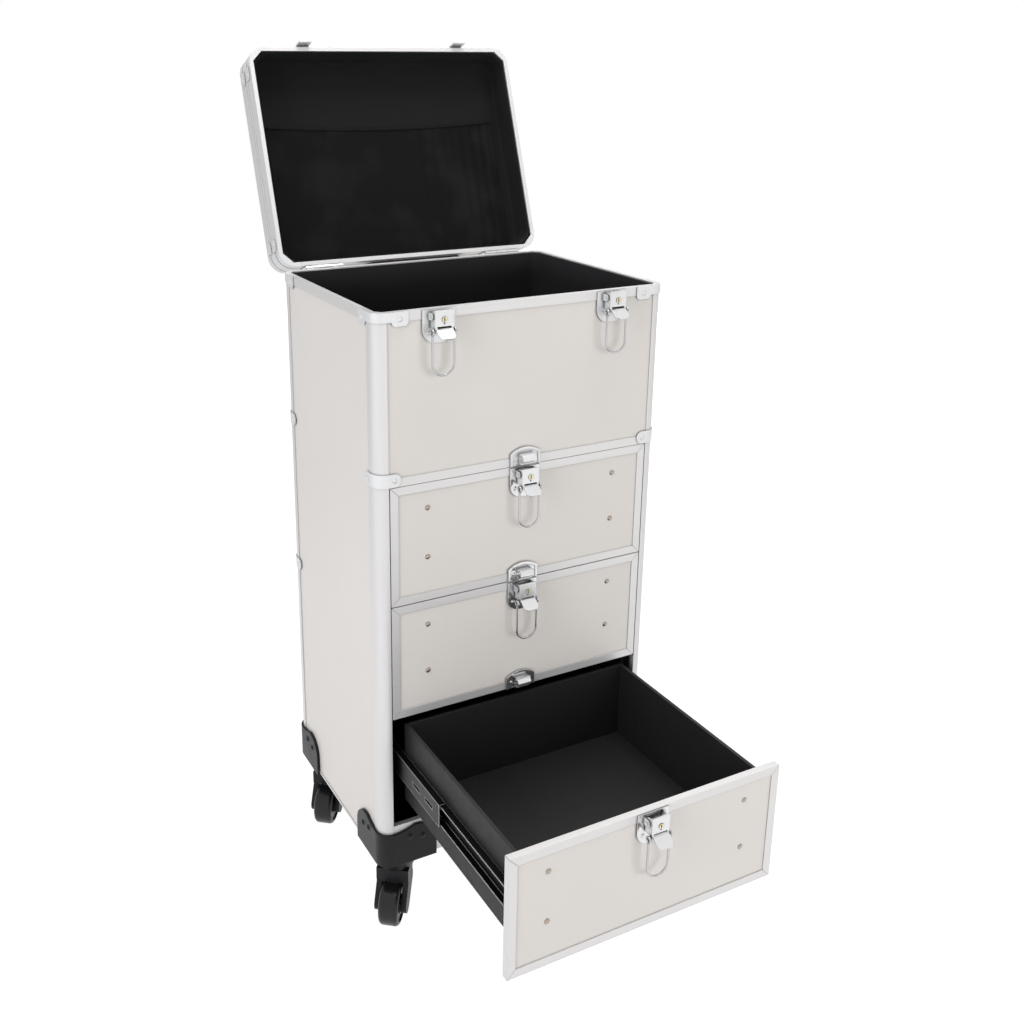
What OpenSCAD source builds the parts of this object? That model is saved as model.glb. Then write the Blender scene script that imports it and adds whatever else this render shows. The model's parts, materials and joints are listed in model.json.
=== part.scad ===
// Rolling makeup case: a lidded top tray over three drawers, on four swivel casters.
// Millimetres, +Z up, front towards -Y, origin on the floor under the middle of the case.
// The pose is the one in use: lid open at its stop, bottom drawer pulled out.

/* [Case] */
// Width over the corner posts
case_w = 357; // [330:1:400]
// Depth over the corner posts
case_d = 270; // [255:1:300]
// Height from the rim down to the top drawer
tray_h = 187; // [170:1:240]
// Height that each drawer takes
drawer_pitch = 138; // [120:1:150]
// Height of the plinth under the bottom drawer
plinth_h = 50; // [48:1:60]
// Thickness of the cream boards
panel_t = 5; // [4:0.5:6]
// How far the boards lie behind the faces of the posts
panel_recess = 1; // [0.5:0.25:2]
// Thickness of the inner boards
board_t = 6; // [4:0.5:8]
// Thickness of the boards that carry the slides
spacer_t = 12; // [8:0.5:14]
// Thickness of the cloth lining
lining_t = 2; // [1:0.5:3]

/* [Frame] */
// Post leg seen from the front
post_front_leg = 14.5; // [14:0.5:22]
// Post leg seen from the side
post_side_leg = 20; // [16:0.5:26]
// Outer radius of the posts
post_r = 14; // [10:0.5:14]
// Height of the rim rails
rim_h = 10.5; // [8:0.5:14]
// Height of the trim strip over the top drawer
trim_h = 10; // [8:0.5:14]
// Height of the bottom edge rails
edge_h = 3; // [2:0.5:6]
// Thickness of the pressed corner fittings
fitting_t = 1.2; // [0.8:0.1:2]
// Length of a rim cap along each face
cap_leg = 38; // [34:1:44]
// Height of the clamps round the posts
clamp_h = 15; // [10:0.5:20]
// Length of a clamp along each face
clamp_leg = 28; // [26:1:36]

/* [Lid] */
// Height of the lid walls
lid_h = 44; // [38:1:60]
// Thickness of the lid walls
lid_wall = 5; // [4:0.5:7]
// Angle at which the open lid stands
lid_open = 110; // [95:1:115]
// Gap between the lid and the rim when closed
lid_gap = 0.8; // [0.5:0.1:2]
// Length of a lid corner along each wall
lid_corner_leg = 26; // [22:1:34]
// Outer radius of the lid corners
lid_corner_r = 20; // [14:1:22]
// Depth of the pocket from the hinge side
pocket_d = 172; // [120:1:180]
// Number of gathers in the pocket
gathers = 13; // [6:1:20]

/* [Hinges] */
// Distance of each hinge from the side of the case
hinge_inset = 54.5; // [54.5:0.5:70]
// Width of a hinge
hinge_w = 48; // [36:1:60]
// Height of a hinge leaf
leaf_h = 16; // [12:1:22]
// Thickness of a hinge leaf
leaf_t = 1.5; // [1:0.1:2]
// Outer radius of the knuckles
knuckle_r = 2.8; // [2.4:0.1:3]
// Radius of the hinge pins
hinge_pin_r = 1.4; // [1:0.1:1.6]

/* [Drawers] */
// Gap between a drawer front and what is round it
drawer_gap = 1; // [0.6:0.1:2]
// Thickness of a drawer front
front_t = 8; // [7:0.5:14]
// Width of the aluminium frame round a drawer front
frame_w = 9.5; // [8:0.5:14]
// Wall of the drawer boxes
box_wall = 4; // [3:0.5:6]
// Drop of the box edge below the front's top
box_drop = 9; // [6:0.5:14]
// Lift of the box above the front's bottom
box_lift = 30; // [24:1:36]
// Travel of a drawer
drawer_travel = 256; // [200:1:258]
// Distance of the front screws from the front's sides
screw_inset = 44; // [38:1:56]
// Distance of the upper front screws below the front's top
screw_drop = 29; // [22:1:34]
// Distance between the upper and lower front screws
screw_pitch = 57; // [45:1:62]
// Radius of the screw heads
screw_r = 3.2; // [2.5:0.1:4]

/* [Slides] */
// Height of a slide
slide_h = 30; // [26:1:35]
// Thickness of a slide
slide_t = 12.7; // [12:0.1:14]
// Sheet thickness of the slide members
slide_gauge = 1.2; // [1:0.1:1.4]
// Running gap between the slide members
slide_gap = 0.4; // [0.3:0.1:0.8]
// Distance of the slides behind the front
slide_setback = 26; // [20:1:32]

/* [Latches] */
// Distance of each lid latch from the side of the case
lid_latch_inset = 72; // [60:1:90]
// Width of a latch plate
plate_w = 37.5; // [35:0.5:46]
// Height of a latch plate
plate_h = 35; // [33:0.5:46]
// Thickness of the latch plates
plate_t = 1.5; // [1:0.1:2]
// Width of a lever
lever_w = 21; // [20:0.5:22]
// Height of a lever
lever_h = 20; // [19:0.5:22]
// Sheet thickness of a lever
lever_t = 1.2; // [1:0.1:1.5]
// Length of the thumb tab
tab_l = 15; // [12.5:0.5:18]
// Slope of the thumb tab from upright
tab_slope = 54; // [45:1:80]
// Height of a strike plate above the drawer it holds
strike_h = 22; // [21:0.5:28]
// Radius of the curled strike lip
curl_r = 6; // [4:0.1:6.4]
// Length of a pull ring from its eyelets
ring_l = 46; // [42:1:56]
// Distance between the legs of a ring
ring_w = 25.2; // [25:0.1:30]
// Wire radius of a ring
wire_r = 1.2; // [1:0.1:1.4]
// Radius of a key barrel
lock_r = 2.8; // [2.4:0.1:3.2]

/* [Casters] */
// Wheel diameter
wheel_d = 51; // [44:1:56]
// Wheel width
wheel_w = 24; // [18:1:28]
// Radius of the wheel axle
axle_r = 3; // [2.5:0.1:4]
// Distance of the axle behind the swivel
trail = 22; // [16:1:26]
// Heading of the casters, from straight back
caster_yaw = -38; // [-180:1:180]
// Distance of each swivel from the two case faces
stem_inset = 30; // [29:1:40]
// Radius of the swivel stem
stem_r = 5; // [4:0.1:7]
// Length of a shoe along each face
shoe_arm = 68; // [60:1:80]
// Height of a shoe up the case
shoe_h = 45.5; // [34:0.5:49]
// Wall of the shoes
shoe_t = 3; // [2.5:0.1:4]
// Height of the swivel housing
dome_h = 18; // [14:0.5:22]

/* [Handle] */
// Distance of each handle tube from the middle
tube_x = 55; // [40:1:64]
// Outer radius of the fixed tubes
tube_r = 8; // [7:0.5:9]
// Length of the fixed tubes
tube_l = 430; // [350:5:480]
// Width of the grip
grip_w = 145; // [130:1:170]
// Height of the grip
grip_h = 20; // [16:1:26]
// Depth of the grip
grip_d = 17; // [14:0.5:18]

/* [Hidden] */
$fn = 48;

// Colours
cream = "#D8D4CE";
satin = "#D2D3D4";
chrome = "#B9BBBD";
black = "#1B1B1C";
dark = "#2B2B2D";
brass = "#B08D3A";

// Clearances
seam = 0.2;
play = 0.05;
rub = 0.5;
cut = 1;

// Caster levels, from the floor up
wheel_r = wheel_d / 2;
crown_t = 16;
crown_gap = 2;
swivel_gap = 0.5;
crown_z = wheel_d + crown_gap;
dome_z = crown_z + crown_t + swivel_gap;
body_z = dome_z + dome_h + shoe_t;
dome_r = 22;
dome_top_r = 28;
crown_r = 18;
cheek_t = 6.5;
wheel_side_gap = 0.8;

// Case levels and faces
drawer_count = 3;
body_h = tray_h + drawer_count * drawer_pitch + plinth_h;
rim_z = body_z + body_h;
drawers_z = rim_z - tray_h;
plinth_z = body_z + plinth_h;
half_w = case_w / 2;
half_d = case_d / 2;
front_y = -half_d;
back_y = half_d;
post_t = panel_recess + panel_t;
inner_half_w = half_w - post_t;
inner_half_d = half_d - post_t;
bay_half_w = half_w - post_front_leg;
post_fill = 6;
panel_top_z = rim_z - rim_h;
function drawer_top(n) = drawers_z - (n - 1) * drawer_pitch - drawer_gap / 2;
front_w = 2 * (bay_half_w - drawer_gap);
front_h = drawer_pitch - drawer_gap;
hinge_x = half_w - hinge_inset;
lid_latch_x = half_w - lid_latch_inset;
screw_x = front_w / 2 - screw_inset;

// Slides and drawer boxes
slide_face = inner_half_w - spacer_t;
box_half_w = slide_face - slide_t;
box_y = front_y + front_t;
back_gap = 5;
box_l = inner_half_d - back_gap - box_y;
box_h = front_h - box_drop - box_lift;
slide_l = inner_half_d - back_gap + half_d - slide_setback;
function slide_z(n) = drawer_top(n) - box_drop - box_h / 2;
function drawer_out(n) = n == drawer_count ? drawer_travel : 0;

// Lid hinge and lid levels when closed
knuckle_sink = 1;
pivot_y = back_y + leaf_t + knuckle_r - knuckle_sink;
pivot_z = rim_z + lid_gap / 2;
lid_z = rim_z + lid_gap;
lid_top_z = lid_z + lid_h;
lid_chamfer = 12;
lid_deck_t = 5;
lid_deck_recess = 1;
lid_lining_z = lid_top_z - lid_deck_recess - lid_deck_t - lining_t;

// Latch geometry, from the face it sits on and the top edge it is set to
latch_seat = 1;
pivot_out = 6;
pivot_drop = 6;
lever_nose = 6.5;
lever_heel = 5.5;
lever_rise = 7.5;
lever_low = lever_rise - lever_h;
brow_w = 1.5;
brow_back = -1.5;
brow_low = 5.6;
trunnion_out = 10.5;
trunnion_drop = 15.5;
trunnion_r = 1.3;
latch_pin_r = 1.5;
ear_t = 1.6;
ear_gap = 0.4;
eye_r = wire_r + 3 * play;
plate_rivet_r = 2.4;
plate_rivet_in = 6.5;
lock_drop = 2.4;
strike_lift = norm([lever_nose, lever_rise]) - pivot_drop - latch_seat + rub;
tongue_w = 16;
tongue_l = 8;
tongue_t = 1.8;
tongue_out = 2.6;
lever_names = ["lid_left", "lid_right", "drawer_1", "drawer_2", "drawer_3"];
latch_x = [-lid_latch_x, lid_latch_x, 0, 0, 0];
latch_y = [front_y, front_y, front_y, front_y, front_y - drawer_travel];
latch_z = [rim_z - latch_seat, rim_z - latch_seat, drawer_top(1) - latch_seat,
  drawer_top(2) - latch_seat, drawer_top(3) - latch_seat];

// Small helpers

// Sets its children at the four corners, with the corner at the origin and the case towards +X +Y
module at_corners(front = true, back = true) {
  for (sx = [-1, 1], sy = [-1, 1])
    if ((sy < 0 && front) || (sy > 0 && back))
      translate([sx * half_w, sy * half_d, 0])
        mirror([sx > 0 ? 1 : 0, 0, 0])
          mirror([0, sy > 0 ? 1 : 0, 0])
            children();
}

// A block between two corners
module block(low, high) {
  translate(low) cube(high - low);
}

// A rectangle about the origin with its corners cut off
module cut_rectangle(w, d, c) {
  polygon([[-w / 2 + c, -d / 2], [w / 2 - c, -d / 2], [w / 2, -d / 2 + c], [w / 2, d / 2 - c],
    [w / 2 - c, d / 2], [-w / 2 + c, d / 2], [-w / 2, d / 2 - c], [-w / 2, -d / 2 + c]]);
}

// What a round of radius r takes off the corner at the origin
module corner_waste(r) {
  difference() {
    translate([-cut, -cut]) square(r + cut);
    translate([r, r]) circle(r);
  }
}

// Lays an outline drawn in X and Z upright, from the plane y, t deep towards +Y
module upright(y, t) {
  translate([0, y + t, 0]) rotate([90, 0, 0]) linear_extrude(t) children();
}

// Lays an outline drawn in Y and Z along X, from x, w wide
module along_x(x, w) {
  translate([x, 0, 0]) rotate([90, 0, 90]) linear_extrude(w) children();
}

// A low domed head on a face that looks towards -Y, sunk a little where it is one with the plate
module rivet_head(r, sink = 0.3) {
  rise = r * 0.45;
  dome_r = (r * r + rise * rise) / (2 * rise);
  rotate([90, 0, 0]) translate([0, 0, -sink]) rotate_extrude() intersection() {
    translate([0, sink + rise - dome_r]) circle(dome_r);
    square([r, sink + rise]);
  }
}

// The four rails of a mitred frame about the origin, drawn in X and Z
module mitred_rails(w, h, rail) {
  for (side = [0:3]) {
    run = side % 2 == 0 ? w : h;
    off = side % 2 == 0 ? h / 2 : w / 2;
    rotate(90 * side) polygon([[-run / 2 + seam, -off], [run / 2 - seam, -off],
      [run / 2 - rail - seam, -off + rail], [-run / 2 + rail + seam, -off + rail]]);
  }
}

// Turns what is drawn with the lid closed to where the open lid stands
module with_lid() {
  translate([0, pivot_y, pivot_z]) rotate([-lid_open, 0, 0])
    translate([0, -pivot_y, -pivot_z]) children();
}

// Case body

module side_panels() {
  color(cream) for (sx = [-1, 1]) mirror([sx > 0 ? 1 : 0, 0, 0])
    block([-half_w + panel_recess, front_y + post_side_leg, body_z + edge_h],
      [-inner_half_w, back_y - post_side_leg, panel_top_z]);
}

module back_panel() {
  color(cream) block([-bay_half_w, inner_half_d, body_z + edge_h],
    [bay_half_w, back_y - panel_recess, panel_top_z]);
}

module upper_front_panel() {
  color(cream) block([-bay_half_w, front_y + panel_recess, drawers_z + trim_h],
    [bay_half_w, -inner_half_d, panel_top_z]);
}

// Level boards clear the fillets inside the posts
module level_board(z, t) {
  translate([0, 0, z]) linear_extrude(t)
    cut_rectangle(2 * inner_half_w, 2 * inner_half_d, post_fill + seam);
}

module inner_boards() {
  color(black) {
    level_board(body_z, board_t);
    level_board(drawers_z + drawer_gap, board_t);
    for (sx = [-1, 1]) mirror([sx > 0 ? 1 : 0, 0, 0])
      block([-inner_half_w, front_y + post_side_leg, body_z + board_t + seam],
        [-slide_face, back_y - post_side_leg, drawers_z + drawer_gap - seam]);
  }
}

module post_outline() {
  difference() {
    union() {
      square([post_front_leg, post_t]);
      square([post_t, post_side_leg]);
      polygon([[post_t, post_t], [post_t + post_fill, post_t], [post_t, post_t + post_fill]]);
    }
    corner_waste(post_r);
  }
}

module corner_posts() {
  color(satin) at_corners() translate([0, 0, body_z])
    linear_extrude(panel_top_z - body_z) post_outline();
}

// Top rim, trim strip, plinth and bottom edge rails
module body_rails() {
  color(satin) {
    for (sy = [-1, 1]) mirror([0, sy > 0 ? 1 : 0, 0])
      block([-half_w + cap_leg, front_y, panel_top_z], [half_w - cap_leg, front_y + post_t, rim_z]);
    for (sx = [-1, 1]) mirror([sx > 0 ? 1 : 0, 0, 0])
      block([-half_w, front_y + cap_leg, panel_top_z], [-half_w + post_t, back_y - cap_leg, rim_z]);
    block([-bay_half_w, front_y, drawers_z], [bay_half_w, -inner_half_d, drawers_z + trim_h]);
    block([-bay_half_w, front_y, body_z], [bay_half_w, -inner_half_d, plinth_z - drawer_gap / 2]);
    block([-bay_half_w, inner_half_d, body_z], [bay_half_w, back_y, body_z + edge_h]);
    for (sx = [-1, 1]) mirror([sx > 0 ? 1 : 0, 0, 0])
      block([-half_w, front_y + post_side_leg, body_z],
        [-inner_half_w, back_y - post_side_leg, body_z + edge_h]);
  }
}

// A quarter of a ring that lies round the outside of a post
module corner_bend(t) {
  translate([post_r, post_r]) intersection() {
    difference() {
      circle(post_r + t);
      circle(post_r);
    }
    translate([-post_r - t, -post_r - t]) square(post_r + t);
  }
}

// A strip bent round a case corner, with rounded ends and a rivet in each end
module corner_strap(leg, h) {
  end_r = h / 2;
  rivet_r = 2.6;
  linear_extrude(h) corner_bend(fitting_t);
  for (flip = [0, 1]) mirror([flip, -flip, 0]) {
    upright(-fitting_t, fitting_t) {
      translate([post_r, 0]) square([leg - end_r - post_r, h]);
      translate([leg - end_r, end_r]) circle(end_r);
    }
    translate([leg - end_r, -fitting_t, end_r]) rivet_head(rivet_r);
  }
}

// A cast corner of the rim. Lap 0 is a riveted tab on the front or back face and lap 1 on the side
module rim_cap(laps) {
  tab_h = 15;
  tab_l = 19;
  foot_r = 5;
  rivet_r = 2.6;
  rivet_up = 7;
  tab_z = rim_z - tab_h;
  translate([0, 0, panel_top_z]) linear_extrude(rim_h) difference() {
    square(cap_leg);
    translate([post_t, post_t]) square(cap_leg);
    corner_waste(post_r);
  }
  translate([0, 0, panel_top_z]) linear_extrude(rim_h)
    polygon([[post_t, post_t], [post_t + post_fill, post_t], [post_t, post_t + post_fill]]);
  translate([0, 0, panel_top_z]) linear_extrude(rim_h) corner_bend(fitting_t);
  for (flip = laps) mirror([flip, -flip, 0]) {
    upright(-fitting_t, fitting_t) {
      translate([post_r, panel_top_z]) square([cap_leg - post_r, rim_h]);
      translate([cap_leg - tab_l, tab_z + foot_r]) square([tab_l, tab_h - foot_r]);
      translate([cap_leg - tab_l + foot_r, tab_z]) square([tab_l - 2 * foot_r, foot_r]);
      for (x = [foot_r, tab_l - foot_r]) translate([cap_leg - x, tab_z + foot_r]) circle(foot_r);
    }
    translate([cap_leg - tab_l / 2, -fitting_t, tab_z + rivet_up]) rivet_head(rivet_r);
  }
}

// The plate that a lever turns on, set by its top edge at z = 0 and its back at y = 0
module latch_plate() {
  foot_r = 15;
  rivet_up = 11;
  ear_x = lever_w / 2 + ear_gap;
  ear_r = 3.6;
  upright(-plate_t, plate_t) {
    translate([-plate_w / 2, -plate_h + foot_r]) square([plate_w, plate_h - foot_r]);
    translate([-plate_w / 2 + foot_r, -plate_h]) square([plate_w - 2 * foot_r, foot_r]);
    for (sx = [-1, 1]) translate([sx * (plate_w / 2 - foot_r), -plate_h + foot_r]) circle(foot_r);
  }
  for (sx = [-1, 1]) along_x(sx > 0 ? ear_x : -ear_x - ear_t, ear_t) {
    translate([-plate_t - pivot_out, -pivot_drop]) circle(ear_r);
    translate([-plate_t - pivot_out, -pivot_drop - ear_r]) square([pivot_out, 2 * ear_r]);
  }
  translate([-ear_x - ear_t - cut / 2, -plate_t - pivot_out, -pivot_drop]) rotate([0, 90, 0])
    cylinder(r = latch_pin_r, h = 2 * (ear_x + ear_t) + cut);
  for (sx = [-1, 1]) translate([sx * (plate_w / 2 - plate_rivet_in), -plate_t, -plate_h + rivet_up])
    rivet_head(plate_rivet_r);
}

// Arched outline of a strike plate, drawn smaller by inset, open below for the lever
module strike_outline(inset) {
  brow_r = 30;
  foot_z = 1.2;
  low = inset > 0 ? -cut : foot_z;
  notch = lever_w / 2 + 2 * ear_gap;
  difference() {
    intersection() {
      translate([-plate_w / 2 + inset, low]) square([plate_w - 2 * inset, strike_h - low]);
      translate([0, strike_h - brow_r]) circle(brow_r - inset);
    }
    if (inset == 0) translate([-notch, 0]) square([2 * notch, strike_lift]);
  }
}

// The plate that a lever closes against, with a raised border and a curled lip, set by the
// edge of the drawer at z = 0
module strike_plate() {
  border_w = 2.6;
  border_t = 0.8;
  rivet_z = 9;
  curl_w = 17;
  curl_sink = 0.8;
  curl_slit = 0.5;
  curl_y = -plate_t - curl_r + curl_sink;
  curl_z = strike_lift + curl_r;
  upright(-plate_t, plate_t) strike_outline(0);
  upright(-plate_t - border_t, border_t) difference() {
    strike_outline(0);
    strike_outline(border_w);
  }
  difference() {
    union() {
      translate([-curl_w / 2, curl_y, curl_z]) rotate([0, 90, 0]) cylinder(r = curl_r, h = curl_w);
      block([-curl_w / 2, curl_y, curl_z], [curl_w / 2, -plate_t, curl_z + curl_r]);
    }
    translate([-curl_w / 2 - cut, curl_y, curl_z]) rotate([0, 90, 0])
      cylinder(r = curl_r - plate_t, h = curl_w + 2 * cut);
    block([-curl_w / 2 - cut, curl_y - curl_r - cut, strike_lift - cut],
      [curl_w / 2 + cut, curl_y - curl_slit, curl_z - 2 * curl_slit]);
  }
  for (sx = [-1, 1]) translate([sx * (plate_w / 2 - plate_rivet_in), -plate_t, rivet_z])
    rivet_head(plate_rivet_r);
}

module body_fittings() {
  clamp_z = drawers_z + drawer_gap / 2;
  lower_clamp_z = clamp_z - 1.4 * drawer_pitch;
  color(chrome) {
    at_corners(back = false) rim_cap([0, 1]);
    at_corners(front = false) rim_cap([1]);
    at_corners() translate([0, 0, clamp_z]) corner_strap(clamp_leg, clamp_h);
    at_corners(front = false) translate([0, 0, lower_clamp_z]) corner_strap(clamp_leg, clamp_h);
    for (n = [0, 1]) translate([latch_x[n], latch_y[n], latch_z[n]]) latch_plate();
    translate([0, front_y, drawer_top(1)]) strike_plate();
  }
}

// One member of a drawer slide: a channel of half height r whose web is at x, with lips w long
module channel(x, r, w, y, l) {
  web = x + sign(w) * slide_gauge;
  open = x + w + sign(w) * cut;
  for (sx = [-1, 1]) mirror([sx > 0 ? 1 : 0, 0, 0]) difference() {
    block([-slide_face + min(x, x + w), y, -r], [-slide_face + max(x, x + w), y + l, r]);
    block([-slide_face + min(web, open), y - cut, -r + slide_gauge],
      [-slide_face + max(web, open), y + l + cut, r - slide_gauge]);
  }
}

outer_r = slide_h / 2;
mid_r = outer_r - slide_gauge - slide_gap;
runner_r = mid_r - slide_gauge - slide_gap;
ball_gap = 1.4;
mid_x = slide_gauge + slide_gap + ball_gap;
lip_w = slide_t - mid_x - slide_gauge - slide_gap;

module slide_channels() {
  color(black) for (n = [1:drawer_count])
    translate([0, 0, slide_z(n)]) channel(0, outer_r, lip_w, front_y + slide_setback, slide_l);
}

// The middle member, half as far out as its drawer, with two slots cut near its front
module slide_mid(n) {
  slot_y = 16;
  slot_l = 18;
  slot_h = 4;
  slot_pitch = 30;
  y = front_y + slide_setback - drawer_out(n) / 2;
  color(dark) translate([0, 0, slide_z(n)]) difference() {
    channel(mid_x, mid_r, lip_w, y, slide_l);
    for (k = [0, 1]) translate([-half_w, y + slot_y + slot_pitch * k, -slot_h / 2])
      cube([case_w, slot_l, slot_h]);
  }
}

module drawer_runners(n) {
  color(dark) translate([0, 0, slide_z(n)])
    channel(slide_t, runner_r, -lip_w, box_y - drawer_out(n), box_l - back_gap);
}

// A caster shoe: a rounded wall up both faces, a sole under the case and the swivel housing
module caster_shoe() {
  end_r = 24;
  dip = 6;
  dip_r = 60;
  sole_cut = 36;
  rivet_r = 4;
  rivet_in = 34;
  rivet_pitch = 16;
  rivet_down = 11;
  rivet_fall = 3.5;
  translate([0, 0, body_z - shoe_t]) {
    linear_extrude(shoe_h + shoe_t - dip) corner_bend(shoe_t);
    for (flip = [0, 1]) mirror([flip, -flip, 0]) upright(-shoe_t, shoe_t) difference() {
      translate([post_r, 0]) square([shoe_arm - post_r, shoe_h + shoe_t]);
      translate([shoe_arm, shoe_h + shoe_t]) rotate(180) corner_waste(end_r);
      translate([post_r, shoe_h + shoe_t + dip_r - dip]) circle(dip_r);
    }
    linear_extrude(shoe_t) difference() {
      translate([-shoe_t, -shoe_t]) square(shoe_arm + shoe_t);
      translate([-shoe_t, -shoe_t]) corner_waste(post_r + shoe_t);
      polygon([[shoe_arm + cut, sole_cut - cut], [shoe_arm + cut, shoe_arm + cut],
        [sole_cut - cut, shoe_arm + cut]]);
    }
    for (flip = [0, 1]) mirror([flip, -flip, 0]) for (k = [0, 1])
      translate([shoe_arm - rivet_in + rivet_pitch * k, -shoe_t, shoe_h - rivet_down - rivet_fall * k])
        rivet_head(rivet_r);
  }
  translate([stem_inset, stem_inset, dome_z]) difference() {
    cylinder(r1 = dome_r, r2 = dome_top_r, h = dome_h);
    translate([0, 0, -cut]) cylinder(r = stem_r + play, h = dome_h - 2 * shoe_t + cut);
  }
}

module caster_shoes() {
  color(black) at_corners() caster_shoe();
}

// A hinge leaf with its knuckles. Knuckle places count along the pin from 0 to 2
module hinge_leaf(sz, knuckles) {
  step = hinge_w / 3;
  near = pivot_z + sz * (knuckle_r + rub);
  far = near + sz * leaf_h;
  block([-hinge_w / 2, back_y, min(near, far)], [hinge_w / 2, back_y + leaf_t, max(near, far)]);
  difference() {
    for (k = knuckles) {
      x = -hinge_w / 2 + k * step + seam;
      translate([x, pivot_y, pivot_z]) rotate([0, 90, 0])
        cylinder(r = knuckle_r, h = step - 2 * seam);
      block([x, back_y, min(pivot_z, far)], [x + step - 2 * seam, back_y + leaf_t, max(pivot_z, far)]);
    }
    translate([-hinge_w, pivot_y, pivot_z]) rotate([0, 90, 0])
      cylinder(r = hinge_pin_r + (sz > 0 ? play : 0), h = 2 * hinge_w);
  }
}

module body_hinge_leaves() {
  color(chrome) for (sx = [-1, 1]) translate([sx * hinge_x, 0, 0]) {
    hinge_leaf(-1, [0, 2]);
    translate([-hinge_w / 2, pivot_y, pivot_z]) rotate([0, 90, 0])
      cylinder(r = hinge_pin_r, h = hinge_w);
  }
}

module compartment_lining() {
  floor_z = drawers_z + drawer_gap + board_t;
  edge_drop = 1.5;
  color(black) difference() {
    translate([0, 0, floor_z]) linear_extrude(rim_z - edge_drop - floor_z)
      cut_rectangle(2 * inner_half_w, 2 * inner_half_d, post_fill + seam);
    translate([0, 0, floor_z + lining_t]) linear_extrude(tray_h)
      cut_rectangle(2 * (inner_half_w - lining_t), 2 * (inner_half_d - lining_t), post_fill + seam);
  }
}

// Pull handle on the back, pushed down

tube_gap = 2;
tube_y = back_y + tube_r + tube_gap;
tube_wall = 1.3;
tube_drop = 48;
tube_top_z = rim_z - tube_drop;
inner_tube_r = tube_r - tube_wall - play;
grip_drop = 1;
grip_low_z = rim_z - grip_h - grip_drop;
bracket_h = 34;

module handle_tubes() {
  stroke_l = 320;
  color(satin) for (sx = [-1, 1]) translate([sx * tube_x, tube_y, 0]) {
    difference() {
      translate([0, 0, tube_top_z - tube_l]) cylinder(r = tube_r, h = tube_l);
      translate([0, 0, tube_top_z - tube_l - cut])
        cylinder(r = tube_r - tube_wall, h = tube_l + 2 * cut);
    }
    translate([0, 0, tube_top_z - stroke_l])
      cylinder(r = inner_tube_r, h = grip_low_z - tube_top_z + stroke_l);
  }
}

// Clamp block that holds both tubes to the back
module tube_bracket(z, w) {
  cover = 3;
  depth = tube_y + tube_r + cover - back_y + panel_recess;
  corner = 8;
  difference() {
    translate([-w / 2, back_y - panel_recess, z]) linear_extrude(bracket_h) difference() {
      square([w, depth]);
      translate([0, depth]) mirror([0, 1]) corner_waste(corner);
      translate([w, depth]) rotate(180) corner_waste(corner);
    }
    for (sx = [-1, 1]) translate([sx * tube_x, tube_y, z - cut])
      cylinder(r = tube_r + play, h = bracket_h + 2 * cut);
  }
}

module handle_grip() {
  back_fall = 0.34 * grip_d;
  brow = 3;
  end_fall = 14;
  recess_end = 4;
  recess_w = 2 * (tube_x - tube_r - recess_end);
  recess_h = 7;
  lower_step = 10;
  grip_gap = 1.5;
  grip_rise = 1.6;
  grip_y = back_y + grip_gap;
  grip_top = rim_z + grip_rise;
  color(black) {
    difference() {
      intersection() {
        upright(grip_y, grip_d) polygon([[-grip_w / 2, grip_low_z], [grip_w / 2, grip_low_z],
          [grip_w / 2, grip_top - end_fall / 2], [grip_w / 2 - end_fall, grip_top],
          [-grip_w / 2 + end_fall, grip_top], [-grip_w / 2, grip_top - end_fall / 2]]);
        along_x(-grip_w / 2, grip_w) polygon([[grip_y, grip_low_z], [grip_y + grip_d, grip_low_z],
          [grip_y + grip_d, grip_top - back_fall], [grip_y + brow, grip_top], [grip_y, grip_top]]);
      }
      block([-recess_w / 2, back_y - cut, grip_low_z - cut],
        [recess_w / 2, grip_y + grip_d + cut, grip_low_z + recess_h]);
    }
    tube_bracket(tube_top_z - bracket_h, grip_w);
    tube_bracket(tube_top_z - tube_l, grip_w - lower_step);
  }
}

// Lid

module lid_panel() {
  color(cream) with_lid() translate([0, 0, lid_top_z - lid_deck_recess - lid_deck_t])
    linear_extrude(lid_deck_t)
      cut_rectangle(case_w - 2 * lid_wall, case_d - 2 * lid_wall, lid_chamfer);
}

// Section of a lid wall, outside towards -Y, with two pressed grooves
module lid_wall_outline() {
  groove_r = 0.9;
  difference() {
    square([lid_wall, lid_h]);
    for (z = [0.42, 0.58]) translate([0, z * lid_h]) circle(groove_r);
  }
}

module lid_frame() {
  run_x = case_w - 2 * lid_corner_leg;
  run_y = case_d - 2 * lid_corner_leg;
  color(satin) with_lid() translate([0, 0, lid_z]) {
    for (a = [0, 180]) rotate(a) translate([0, -half_d, 0])
      along_x(-run_x / 2, run_x) lid_wall_outline();
    for (a = [90, 270]) rotate(a) translate([0, -half_w, 0])
      along_x(-run_y / 2, run_y) lid_wall_outline();
  }
}

// A lid corner: round outside, cut off inside, with two grooves and riveted laps.
// Lap 0 lies on the front or back wall and lap 1 on the side wall
module lid_corner(laps) {
  lap_t = 0.8;
  lap_in = 4;
  lap_x = lid_corner_leg - lap_in;
  lap_l = 9;
  lap_h = 13;
  groove = 0.6;
  groove_w = 2;
  rivet_r = 2.2;
  difference() {
    linear_extrude(lid_h) lid_corner_outline(0);
    for (z = [0.28, 0.72]) translate([0, 0, z * lid_h - groove_w / 2])
      linear_extrude(groove_w) difference() {
        translate([-cut, -cut]) square(lid_corner_leg);
        lid_corner_solid(groove);
      }
  }
  for (flip = laps, z = [0.28, 0.72]) mirror([flip, -flip, 0]) {
    upright(-lap_t, lap_t) {
      translate([lap_x, z * lid_h - lap_h / 2]) square([lap_l, lap_h]);
      translate([lap_x + lap_l, z * lid_h]) circle(lap_h / 2);
    }
    translate([lap_x + lap_l, -lap_t, z * lid_h]) rivet_head(rivet_r);
  }
}

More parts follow.
